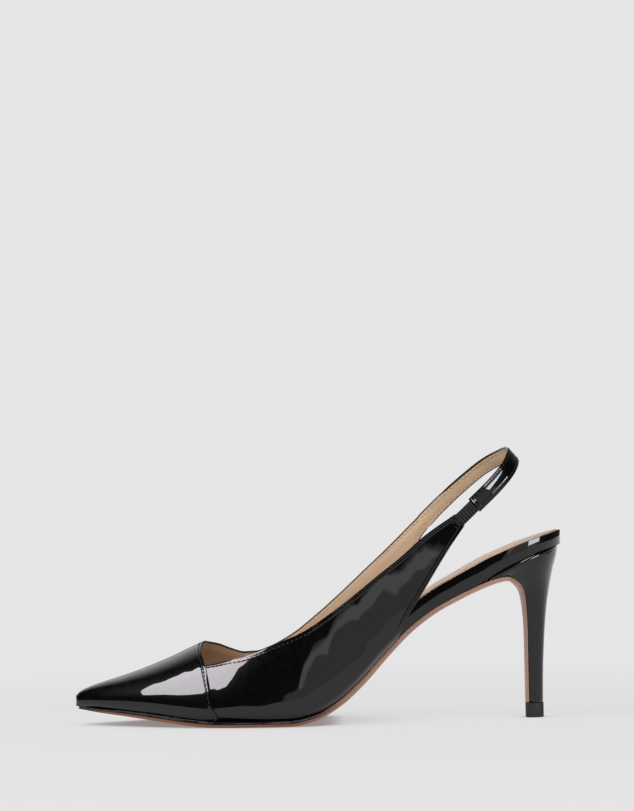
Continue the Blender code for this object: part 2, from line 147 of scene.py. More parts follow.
# Breast of the heel, with the outsole's flap over it, from the seat down to the tip
BREAST = (
    (205.5, 66.0, 2.2, 22.8, 240.1, 84.8), (210.0, 67.3, 2.1, 21.6, 240.0, 82.9),
    (214.0, 67.9, 1.9, 20.0, 239.6, 80.5), (216.4, 67.1, 1.7, 18.2, 238.8, 77.4),
    (218.8, 65.5, 1.5, 16.0, 237.8, 73.9), (220.7, 63.0, 1.4, 13.0, 236.7, 69.1),
    (221.7, 59.7, 1.3, 10.4, 235.6, 63.3), (222.5, 53.5, 1.3, 7.9, 234.3, 55.0),
    (222.9, 46.0, 1.3, 6.2, 233.4, 46.5), (223.0, 39.0, 1.3, 5.4, 232.8, 39.0),
    (223.0, 21.5, 1.3, 4.8, 231.9, 21.5), (223.0, 7.4, 1.3, 4.6, 231.6, 7.4),
)


def front_share(half):
    """How wide the heel's front face is, as a share of its widest."""
    return 0.8 + 0.2 * half / BREAST[0][3]


def sole_path():
    """The outsole's rows, keyed by the distance walked along its underside."""
    rows = list(TREAD)
    for x, z, thick, half, _back_x, _back_z in BREAST:
        edge = half * front_share(half)
        rows.append((x, z, thick, edge, edge))
    walked = 0.0
    keyed = []
    for i, row in enumerate(rows):
        if i:
            walked += math.dist(row[:2], rows[i - 1][:2])
        keyed.append((walked, *row))
    return table("walk x z thick lateral medial", *keyed, squared=("lateral", "medial"))


SOLE = sole_path()
BREAST_WALK = [float(w) for w in SOLE["walk"][-len(BREAST):]]
HEEL = table(
    "walk half back_x back_z",
    *[(walk, row[3], row[4], row[5]) for walk, row in zip(BREAST_WALK, BREAST)],
)


def sole_point(walk, lift):
    """A point at a height above the outsole's underside, square to it."""
    x = read(SOLE, "x", walk)
    z = read(SOLE, "z", walk)
    small = 0.05
    ahead = min(walk + small, float(SOLE["walk"][-1]))
    behind = max(walk - small, 0.0)
    along = Vector((
        read(SOLE, "x", ahead) - read(SOLE, "x", behind),
        read(SOLE, "z", ahead) - read(SOLE, "z", behind),
    )).normalized()
    return x - along.y * lift, z + along.x * lift


def sole_bed():
    """The upper face of the outsole, with the clearance above it, as a curve over x."""
    walks = np.linspace(0.0, BREAST_WALK[1], 160)
    points = [sole_point(w, read(SOLE, "thick", w) + CLEARANCE) for w in walks]
    return np.array(points).T


BED_X, BED_Z = sole_bed()


def bed(x):
    return float(np.interp(x, BED_X, BED_Z))


# Underside of the seat, which the heel carries
SEAT = table(
    "x z",
    (SEAT_START, bed(SEAT_START)), (203, 68.7), (211, 73.7), (221, 78.4), (229, 81.9),
    (237.5, 84.5), (LENGTH, 85.5),
)

# Insole board: its depth, and its half-widths
BOARD = table(
    "x depth lateral medial",
    (BOARD_START, 2.4, 0, 0), (9, 2.4, 3.4, 3.4), (15, 2.4, 7.2, 7.9), (25, 2.4, 12.2, 13.2),
    (40, 2.5, 19.0, 20.5), (55, 2.5, 25.2, 27.0), (70, 2.5, 29.9, 31.7), (82, 2.5, 32.0, 32.6),
    (95, 2.6, 32.6, 31.4), (110, 3.4, 31.0, 28.0), (125, 5.2, 28.0, 24.0), (140, 8.1, 24.4, 20.4),
    (155, 9.9, 21.8, 18.6), (170, 9.5, 21.2, 19.0), (185, 9.6, 22.0, 21.0),
    (197, 10.2, 23.3, 22.7), (203, 9.8, 23.8, 23.6), (211, 8.3, 24.1, 24.1),
    (221, 7.7, 23.3, 23.3), (229.5, 6.9, 20.0, 20.0), (236.6, 6.9, 13.6, 13.6), (LENGTH, 7.0, 0, 0),
    squared=("lateral", "medial"),
)

# Toplines, and the rear edges of the two quarters
NEAR_TOP = table(
    "x z",
    (65, 30.1), (71, 31.0), (77, 32.3), (83, 33.3), (89, 35.2), (101, 40.2), (113, 45.3),
    (125, 52.9), (137, 61.6), (149, 71.1), (161, 80.3), (173, 90.6), (188.4, 101.1),
)
NEAR_BACK = table(
    "x z",
    (156.9, 35.4), (160.9, 44.6), (164.9, 52.4), (170.8, 61.5), (179.7, 75.8), (185.6, 85.0),
    (192.9, 95.3),
)
FAR_TOP = table(
    "x z",
    (64, 40.4), (65, 39.9), (71, 37.8), (77, 35.0), (83, 33.2), (89, 33.4), (95, 35.3),
    (107, 41.6), (119, 50.8), (131, 61.2), (143, 72.3), (155, 83.4), (171.5, 99.4),
)
FAR_BACK = table(
    "x z",
    (152.5, 30.4), (158.5, 44.3), (163.8, 57.3), (167, 69.2), (169.8, 79.2), (173.5, 89.2),
    (177.4, 94.6),
)

# Middle line of the sling strap from the inner side round the heel, with its outward tilt
STRAP = (
    (175.2, 23.9, 97.4, 14), (184.5, 23.6, 106.5, 24), (193.0, 22.8, 114.2, 28),
    (204.6, 19.6, 123.6, 28), (212.8, 13.4, 128.4, 16), (218.3, 0.0, 130.2, 0),
    (215.8, -13.4, 123.6, -8), (208.9, -19.8, 115.3, -10), (197.9, -23.0, 104.9, -8),
)
ELASTIC = ((191.0, -25.4, 98.6), (194.2, -24.4, 101.5), (197.4, -23.2, 104.5))
STRAP_SLOPE = Vector((0.66, 0.0, -0.75))
CROWN_FADE = 1 / 12


def board_under(x):
    """The underside of the insole board, on the outsole's bed and then on the seat."""
    if x < SEAT_START:
        return bed(x)
    return read(SEAT, "z", x)


def side_name(side):
    return "lateral" if side < 0 else "medial"


def feather(x, side):
    """Half-width of the upper's lower edge, where it meets the sole."""
    name = side_name(side)
    widest = read(GIRTH, name, x)
    board = read(BOARD, name, x)
    if x < BOARD_START:
        return TOE_FEATHER * widest
    return min(max(board + FEATHER_MARGIN, TOE_FEATHER * widest), widest)


def widest_rise(height):
    """How high above the bed the section is widest: a share of it, levelling off."""
    rise = WIDEST_SHARE * height
    return rise / (1 + (rise / WIDEST_MOST) ** 3) ** (1 / 3)


def skin(x, share, side, inward=0.0):
    """A point of the upper's outside: share 0 is its lower edge, and 1 is the crown."""
    low = board_under(x)
    height = read(CROWN, "z", x) - low
    widest = read(GIRTH, side_name(side), x)
    power = read(CROWN, "power", x)
    rise = widest_rise(height)
    if share < ROLL_SHARE:
        u = share / ROLL_SHARE
        tuck = widest - feather(x, side)
        y = widest - tuck * (1 - u) ** 2
        z = low + rise * u
        across = Vector((rise, -2 * tuck * (1 - u)))
    else:
        angle = (share - ROLL_SHARE) / (1 - ROLL_SHARE) * math.pi / 2
        cosine = max(math.cos(angle), 0.0)
        sine = max(math.sin(angle), 0.0)
        y = widest * cosine ** (2 / power)
        z = low + rise + (height - rise) * sine ** (2 / power)
        across = Vector(((height - rise) * cosine, widest * sine))
    if inward and across.length > 0:
        across.normalize()
        y -= across.x * inward
        z -= across.y * inward
    return Vector((x, side * y, z))


def share_at(x, z):
    """The share of the section that lies at height z."""
    low = board_under(x)
    height = read(CROWN, "z", x) - low
    rise = widest_rise(height)
    if z <= low:
        return 0.0
    if z < low + rise:
        return ROLL_SHARE * (z - low) / rise
    ratio = min((z - low - rise) / (height - rise), 1.0)
    angle = math.asin(ratio ** (read(CROWN, "power", x) / 2))
    return ROLL_SHARE + (1 - ROLL_SHARE) * angle / (math.pi / 2)


def smooth_step(t):
    t = min(max(t, 0.0), 1.0)
    return t * t * (3 - 2 * t)


def blend(a, b, t):
    return a + (b - a) * t


# How finely the surfaces are divided
NEAR_COLUMNS = 26
TOP_COLUMNS = 16
TOE_ROWS = 88
QUARTER_ROWS = 170
STRAP_ROWS = 110
SLAB_COLUMNS = 9
RING_STEPS = 28
EDGE_STEPS = 200
STITCH_STEPS = 240
CROSS_STEPS = 20

# Where the inner quarter runs on into the strap, in mm; its grid is smoothed in there
JOIN_START = 164
JOIN_END = 186
JOIN_SIDE = 15
JOIN_LOW = 80
JOIN_PASSES = 80

# Hems, edges and stitches, in mm
EDGE_ROUND = 0.35
EDGE_SPACING = 0.25
EDGE_REACH = 8.0
HEM_WIDTH = 2.0
SKIVE_WIDTH = 4.0
EDGE_THICKNESS = 0.9
HEM_DEPTH = 0.11
FOLD_SHOWS = 0.45
STITCH_INSET = 1.3
LINING_INSET = 1.15
STRAP_INSET = STITCH_INSET / STRAP_WIDTH
STITCH_PITCH = 2.3
STITCH_LENGTH = 1.75
STITCH_WIDTH = 0.7
STITCH_RISE = 0.5
STITCH_PROUD = 0.04
FIRST_STITCH = 0.004
LAST_STITCH = 0.985


def spread(low, high, count, power=1.0):
    """Stations from low to high; a power over 1 puts them closer together at the low end."""
    return [low + (high - low) * (i / count) ** power for i in range(count + 1)]


def patch(bm, rows, columns, place, mark=None):
    """A grid of rows by columns, placed point by point; mark is a layer that keeps the row."""
    made = bmesh.ops.create_grid(bm, x_segments=rows - 1, y_segments=columns - 1, size=0.5)
    for vert in made["verts"]:
        i = round((vert.co.x + 0.5) * (rows - 1))
        j = round((vert.co.y + 0.5) * (columns - 1))
        vert.co = place(i, j)
        if mark:
            vert[mark] = i


def new_piece(name, bm, nodes, materials, closed=False, weld=0.01):
    """Weld a bmesh that is in mm, and stand it in the frame as a piece."""
    bmesh.ops.remove_doubles(bm, verts=bm.verts[:], dist=weld)
    if closed:
        bmesh.ops.recalc_face_normals(bm, faces=bm.faces[:])
    bmesh.ops.translate(bm, verts=bm.verts[:], vec=(-LENGTH / 2, 0, 0))
    bmesh.ops.scale(bm, verts=bm.verts[:], vec=(MM, MM, MM))
    mesh = bpy.data.meshes.new(name)
    bm.to_mesh(mesh)
    bm.free()
    mesh.shade_smooth()
    for made in materials:
        mesh.materials.append(made)
    piece = bpy.data.objects.new(name, mesh)
    scene.collection.objects.link(piece)
    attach(piece, "root")
    if nodes:
        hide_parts(*nodes)
    return piece


def add_wall(piece, thickness):
    """The wall of the upper, skived thinner towards its folded edges; its inside is lining."""
    group = piece.vertex_groups.new(name="thickness")
    for vert, edge in zip(piece.data.vertices, piece.data.attributes["edge"].data):
        group.add([vert.index], smooth_step(edge.value / SKIVE_WIDTH), "REPLACE")
    wall = piece.modifiers.new("wall", "SOLIDIFY")
    wall.thickness = thickness * MM
    wall.offset = -1.0
    wall.material_offset = 1
    wall.material_offset_rim = 0
    wall.vertex_group = group.name
    wall.thickness_vertex_group = EDGE_THICKNESS / thickness


def round_edges(piece, width, segments=3, angle=50):
    edge = piece.modifiers.new("rounded edges", "BEVEL")
    edge.width = width * MM
    edge.segments = segments
    edge.limit_method = "ANGLE"
    edge.angle_limit = math.radians(angle)


def finish(name, constants):
    """A new finish, with its constant values on the shader's own sockets."""
    made = bpy.data.materials.new(name)
    made.use_nodes = True
    shader = made.node_tree.nodes["Principled BSDF"]
    for socket, value in constants.items():
        shader.inputs[socket].default_value = value
    return made


def add(made, kind, sockets=None, **settings):
    """A node in a finish; a socket takes a plain value or another node's output."""
    tree = made.node_tree
    node = tree.nodes.new("ShaderNode" + kind)
    for setting, value in settings.items():
        setattr(node, setting, value)
    for socket, value in (sockets or {}).items():
        if isinstance(value, bpy.types.NodeSocket):
            tree.links.new(value, node.inputs[socket])
        else:
            node.inputs[socket].default_value = value
    return node


def wire(made, output, socket):
    shader = made.node_tree.nodes["Principled BSDF"]
    made.node_tree.links.new(output, shader.inputs[socket])


def on_object(made):
    return add(made, "TexCoord").outputs["Object"]


def mottle(made, scale, detail=2.0, roughness=0.5, place=None):
    """Soft cloudy variation; scale counts its patches in a metre."""
    sockets = {"Scale": scale, "Detail": detail, "Roughness": roughness}
    sockets["Vector"] = place or on_object(made)
    return add(made, "TexNoise", sockets).outputs["Fac"]


def pores(made, scale):
    """Small rounded cells, as the grain of leather or rubber has."""
    sockets = {"Vector": on_object(made), "Scale": scale}
    return add(made, "TexVoronoi", sockets, feature="SMOOTH_F1").outputs["Distance"]


def carried(made, name):
    """A number that the mesh carries at its vertices."""
    return add(made, "Attribute", attribute_name=name).outputs["Fac"]


def ease(made, value, low, high, start=0.0, end=1.0):
    """A smooth step from start to end while the value goes from low to high."""
    sockets = {"Value": value, "From Min": low, "From Max": high, "To Min": start, "To Max": end}
    return add(made, "MapRange", sockets, interpolation_type="SMOOTHSTEP").outputs["Result"]


def reckon(made, operation, first, second=0.0):
    return add(made, "Math", {0: first, 1: second}, operation=operation).outputs[0]


def multiply(made, result, *factors):
    for factor in factors:
        result = reckon(made, "MULTIPLY", result, factor)
    return result


def distance_from(made, value, middle):
    return reckon(made, "ABSOLUTE", reckon(made, "SUBTRACT", value, middle))


def tint(made, share, first, second):
    """A colour between two others."""
    node = add(made, "Mix", {0: share}, data_type="RGBA")
    for socket, colour in ((6, first), (7, second)):
        if isinstance(colour, bpy.types.NodeSocket):
            made.node_tree.links.new(colour, node.inputs[socket])
        else:
            node.inputs[socket].default_value = (*colour, 1.0)
    return node.outputs[2]


def relief(made, height, depth, under=None):
    """Raised detail: a height of 1 stands depth mm proud."""
    sockets = {"Height": height, "Strength": 1.0, "Distance": depth * MM}
    if under:
        sockets["Normal"] = under
    return add(made, "Bump", sockets).outputs["Normal"]


def hem_height(made):
    """The folded hem along a free edge, with the row pressed in where it is stitched."""
    edge = carried(made, "edge")
    fold = ease(made, edge, HEM_WIDTH - 0.3, HEM_WIDTH + 0.4, 1.0, 0.0)
    pressed = ease(made, distance_from(made, edge, STITCH_INSET), 0.1, 0.6, 0.4, 0.0)
    return reckon(made, "SUBTRACT", fold, pressed)


# Finishes. Patterns count their patches in a metre. Stretches along the sole are in metres from
# the shoe's middle, and heights go from 0 at the tread to 1 at the sole's upper face.
KID_PORES = 2600.0
PORE_DEPTH = 0.006
SHANK_FADE = (-0.012, 0.03)
INK_RISE = (0.46, 0.52)
INK_END = (-0.004, 0.012)
TOE_INK_END = (-0.116, -0.104)
# Height of the painted glint line along the sole's lip
PAINTED_GLINT_HEIGHT = 0.76


def make_patent(name, wave):
    """Black leather under a clear lacquer that lies in long soft waves."""
    made = finish(name, {
        "Specular IOR Level": 0.04, "Coat Weight": 1.0,
        "Coat Roughness": 0.025, "Coat IOR": 1.5,
    })
    shade = tint(made, mottle(made, 70.0), (0.0008, 0.0008, 0.001), (0.0016, 0.0015, 0.0018))
    wire(made, shade, "Base Color")
    wire(made, ease(made, mottle(made, 400.0), 0.3, 0.7, 0.24, 0.4), "Roughness")
    lacquer = relief(made, hem_height(made), HEM_DEPTH)
    lacquer = relief(made, mottle(made, 38.0, 1.5), wave, lacquer)
    lacquer = relief(made, mottle(made, 260.0, 1.0), wave * 0.015, lacquer)
    wire(made, lacquer, "Coat Normal")
    wire(made, relief(made, pores(made, 1500.0), 0.02, lacquer), "Normal")
    return made


def kid_colour(made, clouds, dark, light, deep):
    """Kid leather in soft clouds between two colours, a little deeper in its pores."""
    hide = tint(made, mottle(made, clouds, 3.0), dark, light)
    return tint(made, ease(made, pores(made, KID_PORES), 0.1, 0.45, 0.06, 0.0), hide, deep)


def kid_grain(made, clouds, depth):
    """Fine pores on slow dents that are depth mm deep."""
    grain = relief(made, pores(made, KID_PORES), PORE_DEPTH)
    return relief(made, mottle(made, clouds, 2.0), depth, grain)


def make_lining():
    """Smooth tan kid with fine pores, black where the outer leather is folded over its edge."""
    made = finish("tan lining leather", {"Specular IOR Level": 0.35})
    hide = kid_colour(made, 55.0, (0.468, 0.336, 0.216), (0.54, 0.392, 0.259), (0.38, 0.26, 0.16))
    folded = ease(made, carried(made, "edge"), FOLD_SHOWS, FOLD_SHOWS + 0.25, 1.0, 0.0)
    wire(made, tint(made, folded, hide, (0.006, 0.006, 0.007)), "Base Color")
    wire(made, ease(made, mottle(made, 300.0), 0.3, 0.7, 0.5, 0.66), "Roughness")
    grain = kid_grain(made, 160.0, 0.06)
    wire(made, relief(made, hem_height(made), HEM_DEPTH * 0.6, grain), "Normal")
    return made


def make_sock_leather():
    """The lining's kid, a little lighter and pinker, without a hem."""
    made = finish("tan sock leather", {"Specular IOR Level": 0.35})
    hide = kid_colour(made, 45.0, (0.52, 0.385, 0.285), (0.60, 0.455, 0.345), (0.44, 0.31, 0.21))
    wire(made, hide, "Base Color")
    wire(made, ease(made, mottle(made, 240.0), 0.3, 0.7, 0.48, 0.64), "Roughness")
    wire(made, kid_grain(made, 110.0, 0.12), "Normal")
    return made


def sole_ink(made, along, height):
    """Where the sole's edge is inked: its upper half as far as the shank, and all of the toe."""
    inked = multiply(made, ease(made, height, *INK_RISE), ease(made, along, *INK_END, 1.0, 0.0))
    toe = multiply(made, ease(made, along, *TOE_INK_END, 1.0, 0.0), ease(made, height, 0.0, 0.1))
    return reckon(made, "MAXIMUM", inked, toe)


def ink_with_painted_glint(made, height):
    """The ink, with a painted glint: a broken grey line along the lip of the sole."""
    # painted glint: a lighter grey broken line on the ink where the lip would catch a reflection
    painted_glint = ease(made, distance_from(made, height, PAINTED_GLINT_HEIGHT), 0.02, 0.1, 0.7, 0.0)
    painted_glint = multiply(made, painted_glint, ease(made, mottle(made, 150.0), 0.3, 0.6))
    return tint(made, painted_glint, (0.006, 0.006, 0.006), (0.12, 0.12, 0.122))


def make_sole_leather():
    """Burnished sole edge: black ink above with a painted glint along its lip, rust below, and a
    bare pinkish tan at the shank.
    """
    made = finish("burnished sole leather", {"Specular IOR Level": 0.5, "Coat Roughness": 0.2})
    place = on_object(made)
    along = add(made, "SeparateXYZ", {0: place}).outputs["X"]
    height = carried(made, "height")
    fibres = mottle(made, 900.0, 3.0, 0.6)
    rust = tint(made, fibres, (0.16, 0.058, 0.028), (0.25, 0.095, 0.045))
    tan = tint(made, fibres, (0.30, 0.165, 0.115), (0.42, 0.25, 0.18))
    leather = tint(made, ease(made, along, *SHANK_FADE), rust, tan)
    scuffs = ease(made, mottle(made, 120.0, 6.0, 0.8), 0.56, 0.72, 0.0, 0.5)
    tread = ease(made, height, 0.0, 0.05, 1.0, 0.0)
    worn = tint(made, multiply(made, scuffs, tread), leather, (0.60, 0.40, 0.27))
    inked = sole_ink(made, along, height)
    wire(made, tint(made, inked, worn, ink_with_painted_glint(made, height)), "Base Color")
    wire(made, ease(made, inked, 0.0, 1.0, 0.42, 0.12), "Roughness")
    lip = relief(made, ease(made, height, 0.45, 0.6), 0.35)
    wire(made, relief(made, fibres, 0.02, lip), "Normal")
    return made


def make_thread(name, dark, light):
    """Twisted thread: fine strands that run round each stitch."""
    made = finish(name, {"Specular IOR Level": 0.25})
    strands = mottle(made, 6000.0, 1.0)
    wire(made, tint(made, strands, dark, light), "Base Color")
    wire(made, ease(made, strands, 0.3, 0.7, 0.4, 0.6), "Roughness")
    wire(made, relief(made, strands, 0.08), "Normal")
    return made


def make_rubber():
    """Dull rubber with a fine speckle."""
    made = finish("black lift rubber", {"Specular IOR Level": 0.3})
    speckle = mottle(made, 2600.0, 2.0)
    wire(made, tint(made, speckle, (0.008, 0.008, 0.008), (0.03, 0.029, 0.028)), "Base Color")
    wire(made, ease(made, speckle, 0.3, 0.7, 0.55, 0.75), "Roughness")
    wire(made, relief(made, speckle, 0.06), "Normal")
    return made


def make_elastic():
    """Covered rubber cords side by side, with the small checks of their weave, and painted shade
    that darkens the grooves between the ribs.
    """
    made = finish("black ribbed elastic", {"Sheen Weight": 0.05, "Specular IOR Level": 0.25})
    weave = pores(made, 2400.0)
    cord = tint(made, weave, (0.012, 0.012, 0.0125), (0.036, 0.036, 0.037))
    # painted shade: the grooves between the ribs are coloured near black
    painted_groove_shade = ease(made, carried(made, "height"), 0.25, 0.75, 1.0, 0.0)
    wire(made, tint(made, painted_groove_shade, cord, (0.001, 0.001, 0.001)), "Base Color")
    wire(made, ease(made, weave, 0.1, 0.5, 0.55, 0.8), "Roughness")
    wire(made, relief(made, weave, 0.12), "Normal")
    return made


patent = make_patent("black patent leather", 0.35)
lining = make_lining()
sock_leather = make_sock_leather()
sole_leather = make_sole_leather()
thread = make_thread("black thread", (0.004, 0.004, 0.004), (0.02, 0.02, 0.021))
tan_thread = make_thread("tan thread", (0.50, 0.35, 0.21), (0.70, 0.52, 0.34))
rubber = make_rubber()
elastic_weave = make_elastic()


def side_shares():
    corner = share_at(THROAT_X, read(NEAR_TOP, "z", THROAT_X + CORNER_LEAN))
    low = [corner * i / NEAR_COLUMNS for i in range(NEAR_COLUMNS)]
    return low + [blend(corner, 1.0, i / TOP_COLUMNS) for i in range(TOP_COLUMNS + 1)]


SHARES = side_shares()


def toe_point(x, column):
    """Points of one section of the toe piece, from the outer edge over the crown."""
    last = len(SHARES) - 1
    if column > last:
        return skin(x, SHARES[2 * last - column], 1)
    if column <= NEAR_COLUMNS:
        lean = blend(SEAM_LEAN, CORNER_LEAN, column / NEAR_COLUMNS) * (x / THROAT_X) ** 2
        return skin(x + lean, SHARES[column], -1)
    t = (column - NEAR_COLUMNS) / TOP_COLUMNS
    bow = THROAT_BOW * math.sin(math.pi * t) * smooth_step((x - 40) / (THROAT_X - 40))
    bow -= CORNER_LEAN * (1 - t) * (x / THROAT_X) ** 2
    return skin(x - bow, SHARES[column], -1)


def near_point(s, t, inward=0.0):
    """A point of the outer quarter: s runs along it from the seam, t up from its lower edge."""
    top_x = blend(THROAT_X + CORNER_LEAN, QUARTER_TOP_END, s)
    bottom_x = blend(THROAT_X + SEAM_LEAN, QUARTER_BOTTOM_END, s)
    low = 0.0
    if bottom_x > NEAR_BACK["x"][0]:
        low = share_at(bottom_x, read(NEAR_BACK, "z", bottom_x))
    high = share_at(top_x, read(NEAR_TOP, "z", top_x))
    recess = LAP_STEP * (1 - smooth_step((top_x - THROAT_X) / LAP_FADE))
    return skin(blend(bottom_x, top_x, t), blend(low, high, t), -1, recess + inward)


def far_point(s, t, inward=0.0):
    """A point of the inner quarter: s runs along it from the throat, t up from its lower edge."""
    top_x = blend(THROAT_X, FAR_TOP_END, s)
    bottom_x = blend(THROAT_X, FAR_BOTTOM_END, s)
    low = 0.0
    if bottom_x > FAR_BACK["x"][0]:
        low = share_at(bottom_x, read(FAR_BACK, "z", bottom_x))
    high = share_at(top_x, read(FAR_TOP, "z", top_x)) if s > 0 else 1.0
    return skin(blend(bottom_x, top_x, t), blend(low, high, t), 1, inward)


def path_point(points, t):
    """A smooth path through all points, at t from 0 to 1."""
    place = t * (len(points) - 1)
    i = min(int(place), len(points) - 2)
    u = place - i
    here, ahead = np.array(points[i]), np.array(points[i + 1])
    before = np.array(points[i - 1]) if i else 2 * here - ahead
    after = np.array(points[i + 2]) if i + 2 < len(points) else 2 * ahead - here
    return 0.5 * (
        2 * here + (ahead - before) * u
        + (2 * before - 5 * here + 4 * ahead - after) * u ** 2
        + (3 * here - before - 3 * ahead + after) * u ** 3
    )


def width_direction(tilt):
    turn = math.radians(tilt)
    lean = STRAP_SLOPE.normalized()
    return Vector((lean.x * math.cos(turn), math.sin(turn), lean.z * math.cos(turn)))


def strap_point(t, up, lift=0.0):
    """A point of the strap: t along it, up from its lower edge (0) to its upper edge (1)."""
    if lift > 0:
        lift += STRAP_CROWN * (1 - (2 * up - 1) ** 2) * smooth_step(t / CROWN_FADE)
    x, y, z, tilt = path_point(STRAP, t)
    across = width_direction(tilt)
    ahead = Vector(path_point(STRAP, min(t + 0.01, 1.0))[:3])
    behind = Vector(path_point(STRAP, max(t - 0.01, 0.0))[:3])
    out = (ahead - behind).cross(across).normalized()
    return Vector((x, y, z)) + across * STRAP_WIDTH * (0.5 - up) + out * lift


def mark_edges(bm, *edges):
    """Let each vertex carry its distance from the nearest free edge, in mm."""
    points = []
    for edge in edges:
        for here, ahead in zip(edge, edge[1:]):
            count = max(math.ceil((ahead - here).length / EDGE_SPACING), 1)
            points += [here.lerp(ahead, i / count) for i in range(count)]
        points.append(edge[-1])
    tree = KDTree(len(points))
    for i, point in enumerate(points):
        tree.insert(point, i)
    tree.balance()
    layer = bm.verts.layers.float.new("edge")
    for vert in bm.verts:
        vert[layer] = min(tree.find(vert.co)[2], EDGE_REACH)


def run(place, low, high, count):
    """A line of points while a number goes from low to high."""
    return [place(blend(low, high, i / count)) for i in range(count + 1)]


def free_from(back, bottom_end):
    """The share of a quarter past which its lower edge is free of the sole."""
    return (float(back["x"][0]) - THROAT_X) / (bottom_end - THROAT_X)


def throat_edge():
    return [toe_point(THROAT_X, column) for column in range(len(SHARES))]


def strap_edge(up):
    """The strap's lower edge (up 0) or upper edge (up 1)."""
    return run(lambda t: strap_point(t, up, UPPER_WALL / 2), 0, 1, EDGE_STEPS)


def smooth_join(bm):
    """Even out the grid sideways where the inner quarter runs on into the strap."""
    join = [
        vert for vert in bm.verts
        if JOIN_START < vert.co.x < JOIN_END and vert.co.y > JOIN_SIDE and vert.co.z > JOIN_LOW
    ]
    for _ in range(JOIN_PASSES):
        bmesh.ops.smooth_vert(bm, verts=join, factor=0.5, use_axis_y=True)


def build_vamp_and_sling():
    """Toe piece, inner quarter and sling strap, which the photo shows as one run of leather."""
    bm = bmesh.new()
    stations = [THROAT_X * (i / TOE_ROWS) ** 1.5 for i in range(TOE_ROWS + 1)]
    columns = 2 * len(SHARES) - 1
    patch(bm, len(stations), columns, lambda i, j: toe_point(stations[i], j))
    last = len(SHARES) - 1

    def band_point(i, j):
        up = SHARES[last - j]
        if i <= QUARTER_ROWS:
            return far_point((i / QUARTER_ROWS) ** 0.9, up)
        return strap_point((i - QUARTER_ROWS) / STRAP_ROWS, up, UPPER_WALL / 2)

    patch(bm, QUARTER_ROWS + STRAP_ROWS + 1, len(SHARES), band_point)
    smooth_join(bm)
    mark_edges(
        bm, throat_edge(), run(lambda s: far_point(s, 1.0), 0, 1, EDGE_STEPS),
        run(lambda s: far_point(s, 0.0), free_from(FAR_BACK, FAR_BOTTOM_END), 1, EDGE_STEPS // 2),
        strap_edge(1.0), strap_edge(0.0),
        run(lambda up: strap_point(1.0, up, UPPER_WALL / 2), 0, 1, EDGE_STEPS // 20),
    )
    piece = new_piece(
        "vamp_and_sling", bm, ("upper", "sling_strap"), (patent, lining)
    )
    add_wall(piece, UPPER_WALL)
    round_edges(piece, EDGE_ROUND)


def build_outer_quarter():
    """The outer quarter, which runs a little way under the toe piece."""
    bm = bmesh.new()
    start = -LAP_UNDER / (QUARTER_TOP_END - THROAT_X)
    patch(
        bm, QUARTER_ROWS + 1, NEAR_COLUMNS + 1,
        lambda i, j: near_point(blend(start, 1.0, i / QUARTER_ROWS), j / NEAR_COLUMNS),
    )
    mark_edges(
        bm, run(lambda s: near_point(s, 1.0), start, 1, EDGE_STEPS),
        run(lambda s: near_point(s, 0.0), free_from(NEAR_BACK, QUARTER_BOTTOM_END), 1,
            EDGE_STEPS // 2),
        run(lambda t: near_point(1.0, t), 0, 1, EDGE_STEPS // 10),
    )
    piece = new_piece("outer_quarter", bm, ("upper",), (patent, lining))
    add_wall(piece, UPPER_WALL)
    round_edges(piece, EDGE_ROUND)


def build_slab(name, stations, edge, top, under, nodes, materials):
    """A sheet between an upper and an under face, as wide as its outline at each station."""
    bm = bmesh.new()
    row_mark = bm.verts.layers.int.new("row")
    height = bm.verts.layers.float.new("height")

    def place(i, j):
        t = j / (SLAB_COLUMNS - 1)
        station = stations[i]
        return top(station, blend(-edge(station, -1), edge(station, 1), t))

    patch(bm, len(stations), SLAB_COLUMNS, place, row_mark)
    made = bmesh.ops.extrude_face_region(bm, geom=bm.faces[:])
    lower = {item for item in made["geom"] if isinstance(item, bmesh.types.BMVert)}
    for vert in bm.verts:
        if vert in lower:
            vert[height] = 1.0
        else:
            vert.co = under(stations[vert[row_mark]], vert.co.y)
    return new_piece(name, bm, nodes, materials, closed=True)


def sole_stations(step):
    """Stations along the sole: the toe, the tread and arch, the breast's bend, and its foot."""
    toe_end, bend_start, bend_end = 24.0, BREAST_WALK[0], BREAST_WALK[6]
    stations = spread(0.0, toe_end, int(14 / step), 1.6)
    stations += spread(toe_end, bend_start, int(70 / step))[1:]
    stations += spread(bend_start, bend_end, int(24 / step))[1:]
    stations += spread(bend_end, BREAST_WALK[-1], int(18 / step))[1:]
    return stations


def build_outsole():
    """The outsole, with the flap that runs on down the breast of the heel."""

    def top(walk, y):
        x, z = sole_point(walk, read(SOLE, "thick", walk))
        return Vector((x, y, z))

    def under(walk, y):
        x, z = sole_point(walk, 0.0)
        return Vector((x, y, z))

    piece = build_slab(
        "outsole", sole_stations(1), lambda walk, side: read(SOLE, side_name(side), walk),
        top, under, ("outsole",), (sole_leather,)
    )
    round_edges(piece, EDGE_ROUND, 2)


def board_top(x):
    return board_under(x) + read(BOARD, "depth", x)


def board_stations():
    """Stations along the board, close together at its pointed toe and at its round heel."""
    toe_end, middle_count, heel_count = 20.0, 100, 26
    toe = spread(BOARD_START, toe_end, 10, 1.7)
    middle = spread(toe_end, ROUND_START, middle_count)[1:]
    heel = [
        LENGTH - (LENGTH - ROUND_START) * (1 - i / heel_count) ** 1.8
        for i in range(1, heel_count + 1)
    ]
    return toe + middle + heel


def build_board():
    """The covered board, which shows as the black band round the seat."""
    piece = build_slab(
        "covered_board", board_stations(), lambda x, side: read(BOARD, side_name(side), x),
        lambda x, y: Vector((x, y, board_top(x))), lambda x, y: Vector((x, y, board_under(x))),
        ("insole_board",), (patent,)
    )
    round_edges(piece, 0.9, 4)


